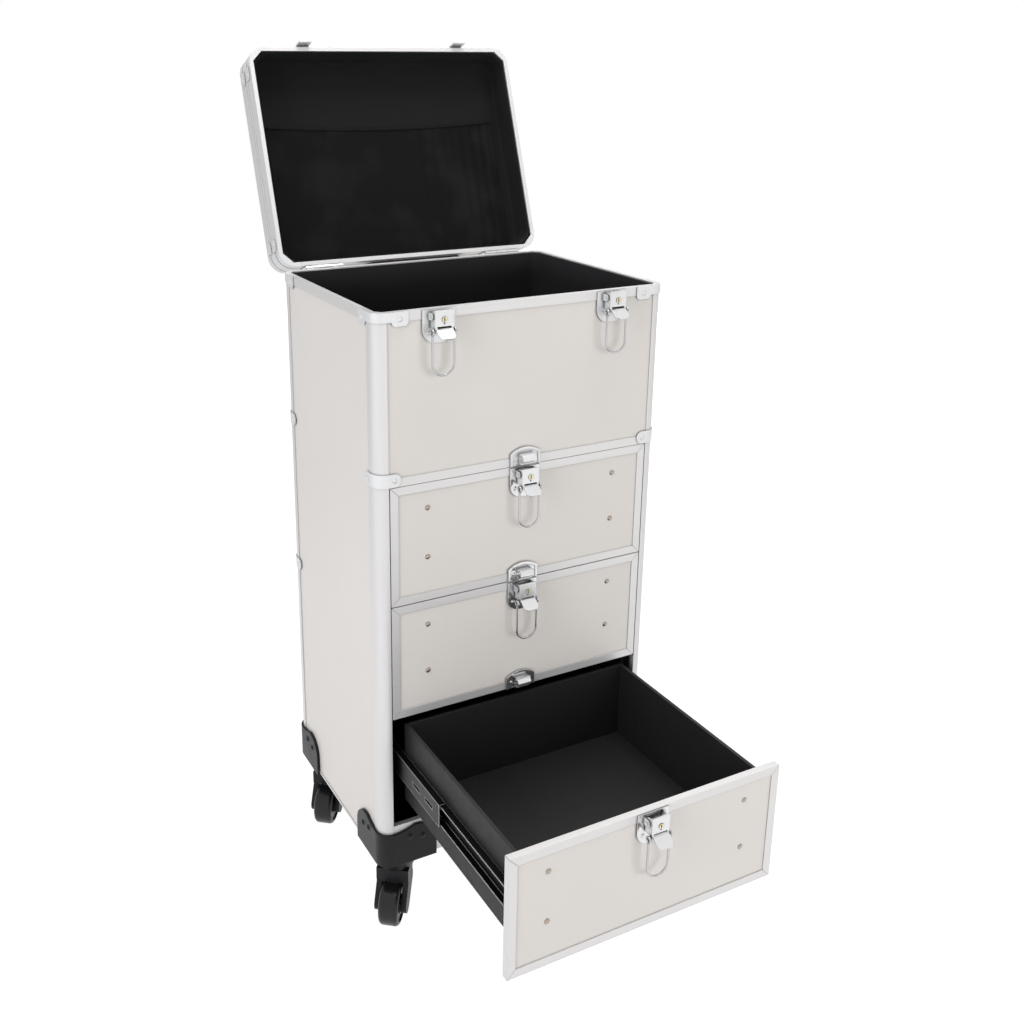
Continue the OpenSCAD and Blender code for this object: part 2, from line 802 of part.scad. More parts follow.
module lid_corner_solid(inset) {
  difference() {
    translate([inset, inset]) square(2 * lid_corner_leg);
    translate([inset, inset]) corner_waste(lid_corner_r - inset);
  }
}

module lid_corner_outline(inset) {
  difference() {
    intersection() {
      lid_corner_solid(inset);
      square(lid_corner_leg);
    }
    translate([lid_wall, lid_wall]) polygon([[lid_chamfer, 0], [2 * lid_corner_leg, 0],
      [2 * lid_corner_leg, 2 * lid_corner_leg], [0, 2 * lid_corner_leg], [0, lid_chamfer]]);
  }
}

// A catch on the lid's front wall, with the tongue that drops behind the lever
module lid_catch() {
  flange_w = 42;
  flange_low = 4;
  flange_h = 14;
  rivet_r = 2.2;
  rivet_in = 5;
  tongue_y = -tongue_out - tongue_t;
  block([-flange_w / 2, -plate_t, flange_low], [flange_w / 2, 0, flange_low + flange_h]);
  block([-tongue_w / 2, tongue_y, flange_low], [tongue_w / 2, -plate_t, flange_low + plate_t]);
  block([-tongue_w / 2, tongue_y, -lid_gap - tongue_l], [tongue_w / 2, -tongue_out, flange_low + plate_t]);
  for (sx = [-1, 1]) translate([sx * (flange_w / 2 - rivet_in), -plate_t, flange_low + flange_h / 2])
    rivet_head(rivet_r);
}

module lid_fittings() {
  color(chrome) with_lid() {
    translate([0, 0, lid_z]) {
      at_corners(back = false) lid_corner([0, 1]);
      at_corners(front = false) lid_corner([1]);
    }
    for (sx = [-1, 1]) translate([sx * lid_latch_x, front_y, lid_z]) lid_catch();
  }
}

module lid_lining() {
  w = case_w - 2 * lid_wall;
  d = case_d - 2 * lid_wall;
  color(black) with_lid() difference() {
    translate([0, 0, lid_z + lining_t]) linear_extrude(lid_lining_z - lid_z)
      cut_rectangle(w, d, lid_chamfer);
    translate([0, 0, lid_z]) linear_extrude(lid_lining_z - lid_z)
      cut_rectangle(w - 2 * lining_t, d - 2 * lining_t, lid_chamfer);
  }
}

// Gathered cloth pocket under the lid's lining, open towards the lid's front edge
module lid_pocket() {
  cloth_t = 1.6;
  wave = 2.5;
  lift = 2;
  hem = 4;
  w = case_w - 2 * lid_wall - 2 * lining_t - 2 * lid_chamfer;
  steps = gathers * 8;
  function swell(k) = 0.4 + 0.6 * k / steps;
  function ripple(k) = swell(k) * wave * (1 - cos(360 * gathers * k / steps)) / 2;
  function across(k) = -w / 2 + hem + (w - 2 * hem) * k / steps;
  back = back_y - lid_wall - lining_t - seam;
  color(dark) with_lid() translate([0, back, lid_lining_z - lift]) rotate([90, 0, 0])
    linear_extrude(pocket_d) polygon(concat(
      [[-w / 2, lift], [-w / 2, -cloth_t]],
      [for (k = [0:steps]) [across(k), -ripple(k) - cloth_t]],
      [[w / 2, -cloth_t], [w / 2, lift], [across(steps), lift]],
      [for (k = [steps:-1:0]) [across(k), -ripple(k)]],
      [[across(0), lift]]));
}

module lid_hinge_leaves() {
  color(chrome) with_lid() for (sx = [-1, 1]) translate([sx * hinge_x, 0, 0]) hinge_leaf(1, [1]);
}

// Drawers

module drawer_front(n) {
  color(cream) translate([0, -drawer_out(n), 0]) block(
    [-front_w / 2 + frame_w, front_y + panel_recess, drawer_top(n) - front_h + frame_w],
    [front_w / 2 - frame_w, box_y, drawer_top(n) - frame_w]);
}

module drawer_frame(n) {
  color(satin) translate([0, -drawer_out(n), drawer_top(n) - front_h / 2])
    upright(front_y, front_t) mitred_rails(front_w, front_h, frame_w);
}

module drawer_box(n) {
  low = drawer_top(n) - front_h + box_lift;
  color(black) translate([0, box_y - drawer_out(n), low]) {
    block([-box_half_w, 0, 0], [box_half_w, box_l, box_wall]);
    for (sx = [-1, 1]) mirror([sx > 0 ? 1 : 0, 0, 0])
      block([-box_half_w, 0, box_wall + seam], [-box_half_w + box_wall, box_l, box_h]);
    for (y = [0, box_l - box_wall])
      block([-box_half_w + box_wall + seam, y, box_wall + seam],
        [box_half_w - box_wall - seam, y + box_wall, box_h]);
  }
}

// Latch plate, the strike for the drawer below and the front screws
module drawer_fittings(n) {
  color(chrome) translate([0, front_y - drawer_out(n), drawer_top(n)]) {
    translate([0, 0, -latch_seat]) latch_plate();
    if (n < drawer_count) translate([0, 0, -drawer_pitch]) strike_plate();
    for (sx = [-1, 1], k = [0, 1])
      translate([sx * screw_x, panel_recess, -screw_drop - k * screw_pitch])
        rivet_head(screw_r, 0);
  }
}

// Latch levers, key barrels and pull rings

// Side wall of a lever, drawn in Y and Z about its pin, with a sloping brow behind the front wall
// and a lug below that carries the pull ring
module lever_side() {
  lug_r = 2;
  lug_y = pivot_out - trunnion_out;
  difference() {
    union() {
      polygon([[-lever_nose, lever_low], [-lever_nose, lever_rise], [-lever_nose + brow_w, lever_rise],
        [brow_back, brow_low], [brow_back, lever_low]]);
      translate([-lever_nose, lever_low]) square([lever_nose + lever_heel, -lever_low]);
      circle(lever_heel);
      translate([lug_y, -trunnion_drop]) circle(lug_r);
      translate([lug_y - lug_r, -trunnion_drop]) square([2 * lug_r, trunnion_drop + lever_low + cut]);
    }
    circle(latch_pin_r + play);
  }
}

module lever_shape() {
  slot_in = 2.5;
  slot_up = 0.4;
  slot_h = 2.4;
  dot_r = 0.8;
  dot_drop = 4.1;
  tab_r = 6;
  tab_in = 1;
  tab_w = lever_w - 2 * tab_in;
  tab_root = 0.8;
  trunnion_x = lever_w / 2 - lever_t / 2;
  trunnion_end = ring_w / 2 + eye_r + cut;
  for (sx = [-1, 1]) along_x(sx > 0 ? lever_w / 2 - lever_t : -lever_w / 2, lever_t) lever_side();
  along_x(-lever_w / 2, lever_w) polygon([[-lever_nose, lever_rise - lever_t], [-lever_nose, lever_rise],
    [-lever_nose + brow_w, lever_rise], [brow_back, brow_low], [brow_back, brow_low - lever_t],
    [-lever_nose + brow_w, lever_rise - lever_t]]);
  difference() {
    block([-lever_w / 2, -lever_nose, lever_low], [lever_w / 2, -lever_nose + lever_t, lever_rise]);
    translate([0, -lever_nose - cut, -lock_drop]) rotate([-90, 0, 0])
      cylinder(r = lock_r + play, h = lever_t + 2 * cut);
    translate([0, -lever_nose - cut, -lock_drop - dot_drop]) rotate([-90, 0, 0])
      cylinder(r = dot_r, h = lever_t + 2 * cut);
    block([-lever_w / 2 + slot_in, -lever_nose - cut, lever_low + slot_up],
      [lever_w / 2 - slot_in, -lever_nose + lever_t + cut, lever_low + slot_up + slot_h]);
  }
  translate([0, -lever_nose + lever_t, lever_low]) rotate([-tab_slope, 0, 0])
    upright(-lever_t, lever_t) {
      translate([-tab_w / 2, -tab_l + tab_r]) square([tab_w, tab_l - tab_r + tab_root]);
      translate([-tab_w / 2 + tab_r, -tab_l]) square([tab_w - 2 * tab_r, tab_r]);
      for (sx = [-1, 1]) translate([sx * (tab_w / 2 - tab_r), -tab_l + tab_r]) circle(tab_r);
    }
  for (sx = [-1, 1]) translate([0, pivot_out - trunnion_out, -trunnion_drop]) rotate([0, 90 * sx, 0])
    translate([0, 0, trunnion_x]) cylinder(r = trunnion_r, h = trunnion_end - trunnion_x);
}

// Moves what is drawn about a latch's lever pin to latch k
module at_latch(k) {
  translate([latch_x[k], latch_y[k] - plate_t - pivot_out, latch_z[k] - pivot_drop]) children();
}

module lever(k) {
  color(chrome) at_latch(k) lever_shape();
}

module lock(k) {
  proud = 0.6;
  depth = 2 * proud + lever_t;
  slit = 1.2;
  slit_l = 1.4 * lock_r;
  slit_d = 1;
  color(brass) at_latch(k) translate([0, -lever_nose - proud, -lock_drop]) difference() {
    rotate([-90, 0, 0]) cylinder(r = lock_r, h = depth);
    block([-slit / 2, -cut, -slit_l / 2], [slit / 2, slit_d, slit_l / 2]);
  }
}

module ring(k) {
  bend_r = ring_w / 2;
  loop_r = trunnion_r + eye_r;
  leg_l = ring_l - bend_r - loop_r;
  color(chrome) at_latch(k) translate([0, pivot_out - trunnion_out, -trunnion_drop]) {
    for (sx = [-1, 1]) translate([sx * bend_r, 0, 0]) difference() {
      union() {
        rotate([0, 90, 0]) rotate_extrude() translate([loop_r, 0]) circle(eye_r);
        translate([0, 0, bend_r - ring_l]) cylinder(r = wire_r, h = leg_l);
      }
      rotate([0, 90, 0]) cylinder(r = trunnion_r + play, h = 4 * eye_r, center = true);
    }
    translate([0, 0, bend_r - ring_l]) rotate([90, 0, 0]) rotate_extrude(angle = 180, start = 180)
      translate([bend_r, 0]) circle(wire_r);
  }
}

// Casters

function stem_xy(sx, sy) = [sx * (half_w - stem_inset), sy * (half_d - stem_inset), 0];

// Outline of two rounds joined by sides that run just inside their outer tangents, from the origin down
module drop_outline(r1, p, r2) {
  tuck = 0.99;
  l = norm(p);
  a = atan2(p[1], p[0]);
  b = acos((r1 - r2) / l);
  left = tuck * [cos(a + b), sin(a + b)];
  right = tuck * [cos(a - b), sin(a - b)];
  circle(r1);
  translate(p) circle(r2);
  polygon([r1 * left, p + r2 * left, p + r2 * right, r1 * right]);
}

// A swivel fork with its stem up into the shoe and its axle, trailing towards -Y
module fork_shape() {
  cheek_x = wheel_w / 2 + wheel_side_gap;
  cheek_top_r = 12;
  cheek_low_r = 10;
  cheek_back = 5;
  cheek_drop = 4;
  crown_lap = 1;
  crown_back = 5;
  translate([0, 0, crown_z]) {
    cylinder(r = crown_r, h = crown_t);
    translate([-cheek_x - cheek_t, -crown_r - crown_lap, 0])
      cube([2 * (cheek_x + cheek_t), crown_r + crown_lap + crown_back, crown_t]);
    cylinder(r = stem_r, h = crown_t + swivel_gap + dome_h - 3 * shoe_t);
  }
  for (sx = [-1, 1]) along_x(sx > 0 ? cheek_x : -cheek_x - cheek_t, cheek_t) intersection() {
    translate([-cheek_back, crown_z - cheek_drop])
      drop_outline(cheek_top_r, [cheek_back - trail, wheel_r + cheek_drop - crown_z], cheek_low_r);
    translate([-2 * wheel_d, -wheel_d]) square([4 * wheel_d, wheel_d + crown_z + crown_t]);
  }
  translate([-cheek_x - cheek_t / 2, -trail, wheel_r]) rotate([0, 90, 0])
    cylinder(r = axle_r, h = 2 * cheek_x + cheek_t);
}

module fork(sx, sy) {
  color(black) translate(stem_xy(sx, sy)) rotate(caster_yaw) fork_shape();
}

module wheel_outline() {
  edge = 5;
  dish = 2;
  hub_r = 11;
  difference() {
    translate([axle_r + play, -wheel_w / 2]) square([wheel_r - axle_r - play, wheel_w]);
    for (sy = [-1, 1]) {
      translate([wheel_r - edge, sy * (wheel_w / 2 - edge)]) difference() {
        translate([0, sy > 0 ? 0 : -2 * edge]) square(2 * edge);
        circle(edge);
      }
      translate([hub_r, sy > 0 ? wheel_w / 2 - dish : -wheel_w / 2 - cut])
        square([wheel_r - edge - hub_r, dish + cut]);
    }
  }
}

module wheel(sx, sy) {
  color(black) translate(stem_xy(sx, sy)) rotate(caster_yaw) translate([0, -trail, wheel_r])
    rotate([0, 90, 0]) rotate_extrude() wheel_outline();
}

side_panels();
back_panel();
upper_front_panel();
inner_boards();
corner_posts();
body_rails();
body_fittings();
slide_channels();
caster_shoes();
body_hinge_leaves();
compartment_lining();
handle_tubes();
handle_grip();
lid_panel();
lid_frame();
lid_fittings();
lid_lining();
lid_pocket();
lid_hinge_leaves();
for (n = [1:drawer_count]) {
  drawer_front(n);
  drawer_frame(n);
  drawer_box(n);
  drawer_runners(n);
  drawer_fittings(n);
  slide_mid(n);
}
for (k = [0:len(lever_names) - 1]) {
  lever(k);
  lock(k);
  ring(k);
}
for (sx = [-1, 1], sy = [-1, 1]) {
  place = str(sy < 0 ? "front" : "rear", sx < 0 ? "_left" : "_right");
  fork(sx, sy);
  wheel(sx, sy);
}
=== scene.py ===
"""Looks of a rolling makeup case: finishes, cloth linings, lid pocket, small trim and the studio."""

import json
import math

import bmesh
import bpy
from mathutils import Euler, Matrix, Vector


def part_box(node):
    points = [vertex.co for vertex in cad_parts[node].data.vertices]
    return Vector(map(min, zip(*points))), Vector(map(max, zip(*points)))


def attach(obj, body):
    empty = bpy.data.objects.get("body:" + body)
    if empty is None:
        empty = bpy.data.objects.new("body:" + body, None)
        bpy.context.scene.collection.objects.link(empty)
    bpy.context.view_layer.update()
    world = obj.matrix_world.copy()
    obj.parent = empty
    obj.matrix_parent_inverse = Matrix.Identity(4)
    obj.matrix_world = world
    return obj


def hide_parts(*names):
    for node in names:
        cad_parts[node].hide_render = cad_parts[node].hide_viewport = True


bl_info = {
    "name": "Rolling Makeup Case",
    "version": (1, 0, 0),
    "blender": (4, 5, 0),
    "location": "3D View > Sidebar > Makeup Case",
    "description": "Dresses a rolling makeup case with its finishes, linings and trim",
    "category": "Object",
}

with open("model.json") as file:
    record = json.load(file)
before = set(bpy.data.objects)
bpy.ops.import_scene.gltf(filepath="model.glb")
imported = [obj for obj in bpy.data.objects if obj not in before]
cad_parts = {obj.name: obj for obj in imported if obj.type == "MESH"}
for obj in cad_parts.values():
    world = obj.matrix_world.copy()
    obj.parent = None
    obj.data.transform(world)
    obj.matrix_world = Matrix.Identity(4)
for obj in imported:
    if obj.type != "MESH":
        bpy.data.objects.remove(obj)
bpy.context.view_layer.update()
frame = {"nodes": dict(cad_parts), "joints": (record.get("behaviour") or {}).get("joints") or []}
NODES = frame["nodes"]
JOINTS = {joint["name"]: joint for joint in frame["joints"]}
MM = 0.001

HINGE = Vector(JOINTS["lid_hinge"]["pos_m"])
LID_OPEN = -math.radians(JOINTS["lid_hinge"]["range_deg"][0])
RAILS_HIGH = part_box("body_rails")[1]
LINING_LOW, LINING_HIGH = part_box("compartment_lining")
LATCHES = ("lid_left", "lid_right", "drawer_1", "drawer_2", "drawer_3")

# Sizes of the lid and its lining, which the box of an open lid does not give
LID_H = 44 * MM
LID_WALL = 5 * MM
LID_CHAMFER = 12 * MM
DECK_T = 6 * MM
LINING_T = 2 * MM
CLOTH_T = LINING_T * 0.8
TRAY_CHAMFER = 6.2 * MM

# The pocket's stand-off from the lining, how far a fold sinks below that, the share of the width at each
# side where the folds die away, and the radius of its hem and seam
NET_GAP = 1.2 * MM
NET_SINK = 0.8 * MM
NET_SIDE = 0.02
HEM_R = 1.3 * MM
SEAM_R = 0.9 * MM

# The screws of the drawer fronts lie further from the middle than this, and the latch plates nearer
SCREW_X = 60 * MM

# A face is inside the case where the case's upright axis lies further than this in front of it
INWARD_LEAST = 10 * MM

DRAWER_FINISHES = {
    "front": "cream",
    "frame": "satin_x",
    "box": "board",
    "runners": "zinc",
    "fittings": "fittings",
}

# The floor's half width, its grey, its glow and the share of the glow that is seen
FLOOR_HALF = 40.0
FLOOR_GREY = (0.45, 0.45, 0.45, 1.0)
FLOOR_GLOW = 1.6
FLOOR_SHARE = 0.6

# In reflections, the share of the white that is left behind the case, and where the floor fades to it
BEHIND_SHARE = 0.5
FADE_NEAR = 0.7
FADE_FAR = 1.3

WHITE = (1, 1, 1, 1)
SENSOR_MM = 36
VIEW_END = 50

# Place, aim, width and colour of each lamp, and whether bright metal mirrors it
LAMPS = {
    "key": ((-2.9, -0.8, 1.4), (0, 0, 0.4), 2.2, (0.955, 0.97, 1.0), False),
    "fill": ((0.7, -3.0, 0.45), (0, 0, 0.25), 2.2, (1, 1, 1), False),
    "rear": ((1.6, 2.6, 1.1), (0, 0, 0.4), 2.2, (1, 1, 1), False),
    "top": ((0.1, 0.0, 2.9), (0.1, 0, 0), 1.4, (1, 1, 1), True),
}


# Shader sums


class Val:
    """A shader socket that can be used in a sum."""

    def __init__(self, tree, socket):
        self.tree = tree
        self.socket = socket

    def _math(self, operation, first, second):
        return self.tree.node("ShaderNodeMath", {"operation": operation}, {0: first, 1: second})

    def __add__(self, other):
        return self._math("ADD", self, other)

    __radd__ = __add__

    def __sub__(self, other):
        return self._math("SUBTRACT", self, other)

    def __rsub__(self, other):
        return self._math("SUBTRACT", other, self)

    def __mul__(self, other):
        return self._math("MULTIPLY", self, other)

    __rmul__ = __mul__

    def __pow__(self, other):
        return self._math("POWER", self, other)

    def above(self, edge):
        """1 where the value is above an edge, else 0."""
        return self._math("GREATER_THAN", self, edge)


class ShaderTree:
    """The node tree of one finish or of the world."""

    def __init__(self, owner, output, shader=None):
        owner.use_nodes = True
        self.owner = owner
        self.nodes = owner.node_tree.nodes
        self.links = owner.node_tree.links
        self.nodes.clear()
        self.output = self.nodes.new(output)
        self.shader = shader and self.nodes.new(shader)
        if shader:
            self.show(Val(self, self.shader.outputs[0]))

    @classmethod
    def finish(cls, name):
        """A new material with a Principled shader."""
        return cls(bpy.data.materials.new(name), "ShaderNodeOutputMaterial", "ShaderNodeBsdfPrincipled")

    def show(self, value):
        """Sends a shader to the output."""
        self.feed(self.output.inputs["Surface"], value)

    def node(self, kind, settings=None, values=None, out=0):
        """Adds a node, sets its settings and then its sockets, and returns one of its outputs."""
        made = self.nodes.new(kind)
        for key, value in (settings or {}).items():
            if key == "stops":
                while len(made.color_ramp.elements) < len(value):
                    made.color_ramp.elements.new(0.5)
                for element, (place, shade) in zip(made.color_ramp.elements, value):
                    element.position = place
                    element.color = (shade, shade, shade, 1)
            else:
                setattr(made, key, value)
        for key, value in (values or {}).items():
            self.feed(made.inputs[key], value)
        return Val(self, made.outputs[out])

    def feed(self, socket, value):
        """Sets a socket to a number or colour, or links a value to it."""
        if isinstance(value, Val):
            self.links.new(value.socket, socket)
        else:
            socket.default_value = value

    def surface(self, **values):
        """Sets sockets of the Principled shader, with _ for the blanks in their names."""
        for key, value in values.items():
            self.feed(self.shader.inputs[key.replace("_", " ")], value)

    def place(self):
        """Where a point is on its piece, in metres."""
        return self.node("ShaderNodeTexCoord", out="Object")

    def stretched(self, x, y, z):
        """The place with each axis scaled."""
        return self.node("ShaderNodeVectorMath", {"operation": "MULTIPLY"}, {0: self.place(), 1: (x, y, z)})

    def dot(self, first, second):
        """The dot product of two vectors."""
        return self.node("ShaderNodeVectorMath", {"operation": "DOT_PRODUCT"},
                         {0: first, 1: second}, out="Value")

    def noise(self, scale, detail=2.0, at=None):
        """Cloudy values about 0.5 with so many clouds to the metre."""
        values = {"Vector": at or self.place(), "Scale": scale, "Detail": detail}
        return self.node("ShaderNodeTexNoise", None, values)

    def mix(self, share, first, second):
        """A colour between two colours, which are the node's sockets 6 and 7 and its output 2."""
        return self.node("ShaderNodeMix", {"data_type": "RGBA"}, {0: share, 6: first, 7: second}, out=2)

    def ramp(self, value, *stops):
        """A value run through straight stops of place and level."""
        return self.node("ShaderNodeValToRGB", {"stops": stops}, {0: value})

    def bevel(self, radius):
        """The normal with every sharp edge rounded."""
        return self.node("ShaderNodeBevel", {"samples": 4}, {"Radius": radius})

    def edges(self, radius):
        """Near 1 along sharp edges and 0 on flat faces."""
        facing = self.dot(self.bevel(radius), self.node("ShaderNodeNewGeometry", out="Normal"))
        return self.ramp(1 - facing, (0.0, 0.0), (0.12, 1.0))

    def crease_shade(self, reach):
        """1 on open faces, lower in the hollows where pieces meet, for painting shade into colours."""
        return self.node("ShaderNodeAmbientOcclusion", {"samples": 6}, {"Distance": reach}, out="AO")

    def inside(self):
        """1 on faces that look towards the upright axis of the case, else 0."""
        inwards = self.stretched(-1, -1, 0)
        return self.dot(inwards, self.node("ShaderNodeTexCoord", out="Normal")).above(INWARD_LEAST)

    def ray(self, kind):
        """1 for rays of one kind, else 0."""
        return self.node("ShaderNodeLightPath", out=kind)

    def seen(self, mirrored):
        """1 for what the camera sees straight or through glass, and a share of it in reflections."""
        straight = self.ray("Is Camera Ray") + self.ray("Is Glossy Ray") * mirrored
        return straight + self.ray("Is Transmission Ray")

    def bump(self, height, strength, distance, normal=None):
        """A normal pushed by a height."""
        values = {"Strength": strength, "Distance": distance, "Height": height}
        if normal:
            values["Normal"] = normal
        return self.node("ShaderNodeBump", None, values)


def rgba(colour, level=1.0):
    """A colour property as four numbers, made lighter or darker."""
    return (colour[0] * level, colour[1] * level, colour[2] * level, 1.0)


# Sizes and colours a user would change


def colour_prop(name, text, default):
    """A colour property."""
    return bpy.props.FloatVectorProperty(name=name, description=text, subtype="COLOR", size=3, min=0, max=1,
                                         default=default)


def length_prop(name, text, default):
    """A length property."""
    return bpy.props.FloatProperty(name=name, description=text, unit="LENGTH", default=default, min=0)


def power_prop(name, text, default):
    """A lamp's power."""
    return bpy.props.FloatProperty(name=name, description=text, unit="POWER", default=default, min=0)


class CaseColours(bpy.types.PropertyGroup):
    """Colours of the finishes."""

    cream: colour_prop("Cream", "Laminate of the panels and fronts", (0.70, 0.664, 0.630))
    satin: colour_prop("Satin", "Aluminium rails and posts", (0.715, 0.702, 0.697))
    chrome: colour_prop("Chrome", "Plated latches and corners", (0.75, 0.75, 0.755))
    board: colour_prop("Board", "Black covered boards", (0.012, 0.012, 0.013))
    zinc: colour_prop("Zinc", "Black drawer slides", (0.014, 0.014, 0.015))
    plastic: colour_prop("Plastic", "Moulded shoes, forks and grip", (0.009, 0.009, 0.010))
    tread: colour_prop("Tread", "Wheel treads", (0.007, 0.007, 0.008))
    cloth: colour_prop("Cloth", "Lining cloth", (0.0115, 0.0115, 0.0124))
    net: colour_prop("Net", "Pocket net", (0.0056, 0.0056, 0.0060))
    # The rings' chrome is a darker grey than the other plating: painted shade for the darker room that round
    # wire mirrors
    wire: colour_prop("Wire", "Pull rings", (0.52, 0.52, 0.53))
    bronze: colour_prop("Bronze", "Screws in the drawer fronts", (0.42, 0.36, 0.30))
    brass: colour_prop("Brass", "Key barrels", (0.76, 0.69, 0.46))


class CasePocket(bpy.types.PropertyGroup):
    """Sizes of the lid's pocket and lining."""

    depth: length_prop("Depth", "Depth of the pocket from the hinge side", 0.172)
    sag: length_prop("Sag", "Sag of the hem in the middle", 0.007)
    bulge: length_prop("Bulge", "How far the hem stands off the lining", 0.0045)
    gather: length_prop("Gather", "Height of the gathers", 0.0016)
    corner: length_prop("Corner", "How far the pocket draws in at its lower corners", 0.008)
    fillet: length_prop("Fillet", "Radius where lining walls meet the floor", 0.005)


class CaseLatch(bpy.types.PropertyGroup):
    """Sizes of the black leaf at the spring's place inside a latch lever, which paints the shade behind its
    slot, from the lever's pin.
    """

    leaf_w: length_prop("Leaf width", "Width of the spring leaf", 0.018)
    leaf_h: length_prop("Leaf height", "Height of the spring leaf", 0.007)
    leaf_t: length_prop("Leaf thickness", "Thickness of the spring leaf", 0.0003)
    leaf_drop: length_prop("Leaf drop", "Foot of the leaf below the pin", 0.0124)
    leaf_y: bpy.props.FloatProperty(name="Leaf place", description="Leaf in front of the pin", unit="LENGTH",
                                    default=-0.0052)


class CaseStage(bpy.types.PropertyGroup):
    """Camera and light."""

    lens: bpy.props.FloatProperty(name="Lens", description="Focal length for a 36 mm frame", min=1,
                                  default=39.586)
    shift: bpy.props.FloatVectorProperty(name="Shift", description="Lens shift", size=2,
                                         default=(0.0703, -0.1094))
    spot: bpy.props.FloatVectorProperty(name="Camera", description="Where the camera stands", size=3,
                                        subtype="TRANSLATION", default=(-0.61253, -1.13798, 0.97967))
    yaw: bpy.props.FloatProperty(name="Yaw", description="Turn of the camera", subtype="ANGLE",
                                 default=math.radians(-26.86))
    pitch: bpy.props.FloatProperty(name="Pitch", description="Tilt of the camera", subtype="ANGLE",
                                   default=math.radians(-16.66))
    key: power_prop("Key", "Power of the key light", 71.0)
    fill: power_prop("Fill", "Power of the fill light", 66.0)
    rear: power_prop("Rear", "Power of the rear light", 60.0)
    top: power_prop("Top", "Power of the lamp overhead", 42.0)
    ambient: bpy.props.FloatProperty(name="Ambient", description="Level of the room light", min=0,
                                     default=0.24)


def colours():
    """The colour settings."""
    return bpy.context.scene.case_colours


# Finishes


def cream_laminate():
    """Smooth sheet with a faint pebble, a slow drift of tone and painted shade where pieces meet, black on
    the faces inside the case.
    """
    tree = ShaderTree.finish("cream_laminate")
    drift = tree.noise(7.0, detail=3.0)
    pebble = tree.noise(1500.0)
    cream = colours().cream
    tone = tree.mix(drift, rgba(cream, 0.975), rgba(cream, 1.02))
    # Painted shade: the cream turns darker in the hollows where pieces meet
    tone = tree.mix(tree.crease_shade(0.003) ** 1.5, rgba(cream, 0.55), tone)
    tree.surface(
        Base_Color=tree.mix(tree.inside(), tone, rgba(colours().board)),
        Roughness=0.40 + 0.10 * tree.noise(60.0),
        Normal=tree.bump(pebble, strength=0.10, distance=0.0002),
        Specular_IOR_Level=0.45,
        Coat_Weight=0.25,
        Coat_Roughness=0.2,
    )
    return tree.owner


def satin_aluminium(name, along):
    """Anodised metal drawn along one axis, with fine lines, softened edges and painted shade where pieces
    meet.
    """
    tree = ShaderTree.finish(name)
    scale = [900.0, 900.0, 900.0]
    scale["xyz".index(along)] = 9.0
    lines = tree.noise(1.0, detail=3.0, at=tree.stretched(*scale))
    satin = colours().satin
    tone = tree.mix(lines, rgba(satin, 0.93), rgba(satin, 1.04))
    tree.surface(
        # Painted shade: the metal turns dark in the hollows where pieces meet
        Base_Color=tree.mix(tree.crease_shade(0.003), rgba(satin, 0.35), tone),
        Metallic=0.55,
        Roughness=0.42 + 0.14 * lines,
        Normal=tree.bump(lines, strength=0.06, distance=0.0002, normal=tree.bevel(0.0007)),
    )
    return tree.owner


def bright_plate(name, tint, metal, rough, screw_x=None):
    """Plated steel with faint smears and painted shade where pieces meet. Screws further out than screw_x are
    bronze.
    """
    tree = ShaderTree.finish(name)
    smear = tree.noise(70.0, detail=4.0)
    tone = tree.mix(smear, rgba(tint, 0.94), rgba(tint))
    if screw_x:
        out = tree.node("ShaderNodeVectorMath", {"operation": "ABSOLUTE"}, {0: tree.place()})
        x = tree.node("ShaderNodeSeparateXYZ", None, {0: out})
        tone = tree.mix(x.above(screw_x), tone, rgba(colours().bronze))
    tree.surface(
        # Painted shade: dark outlines round rivets and plate edges, in the hollows where pieces meet
        Base_Color=tree.mix(tree.crease_shade(0.0035) ** 1.5, rgba(tint, 0.10), tone),
        Metallic=metal,
        Roughness=rough + 0.10 * smear,
        Normal=tree.bevel(0.0006),
    )
    return tree.owner


def shadow_black():
    """Oiled black steel inside the latches, near pure black as painted shade behind each lever's slot and
    hole.
    """
    tree = ShaderTree.finish("shadow_black")
    oil = tree.noise(200.0)
    tree.surface(Base_Color=(0.004, 0.004, 0.004, 1.0), Roughness=0.6 + 0.2 * oil, Specular_IOR_Level=0.1)
    return tree.owner


def covered_board():
    """Board under black vinyl with a fine leather pebble and paler edges."""
    tree = ShaderTree.finish("covered_board")
    pebble = tree.node("ShaderNodeTexVoronoi", {"feature": "SMOOTH_F1"},
                       {"Vector": tree.place(), "Scale": 700.0})
    drift = tree.noise(12.0, detail=3.0)
    # The edges are made paler than the faces
    pale_edges = tree.edges(0.0006) * 0.5
    board = colours().board
    tone = tree.mix(drift, rgba(board, 0.85), rgba(board, 1.15))
    tree.surface(
        Base_Color=tree.mix(pale_edges, tone, rgba(board, 2.6)),
        Roughness=0.48 + 0.16 * tree.noise(90.0),
        Normal=tree.bump(pebble, strength=0.14, distance=0.0003, normal=tree.bevel(0.0005)),
        Specular_IOR_Level=0.34,
    )
    return tree.owner


def black_zinc():
    """Black plated steel, with a painted highlight along its edges."""
    tree = ShaderTree.finish("black_zinc")
    lines = tree.noise(1.0, detail=3.0, at=tree.stretched(900.0, 12.0, 900.0))
    # Painted highlight: the edges turn pale grey as if they caught the light
    pale_edges = tree.edges(0.0013)
    zinc = colours().zinc
    highlight_steel = (0.70, 0.70, 0.72, 1.0)
    tone = tree.mix(lines, rgba(zinc, 0.8), rgba(zinc, 1.3))
    tree.surface(
        Base_Color=tree.mix(pale_edges, tone, highlight_steel),
        Metallic=0.85,
        Roughness=0.30 + 0.14 * lines,
        Normal=tree.bevel(0.0004),
    )
    return tree.owner


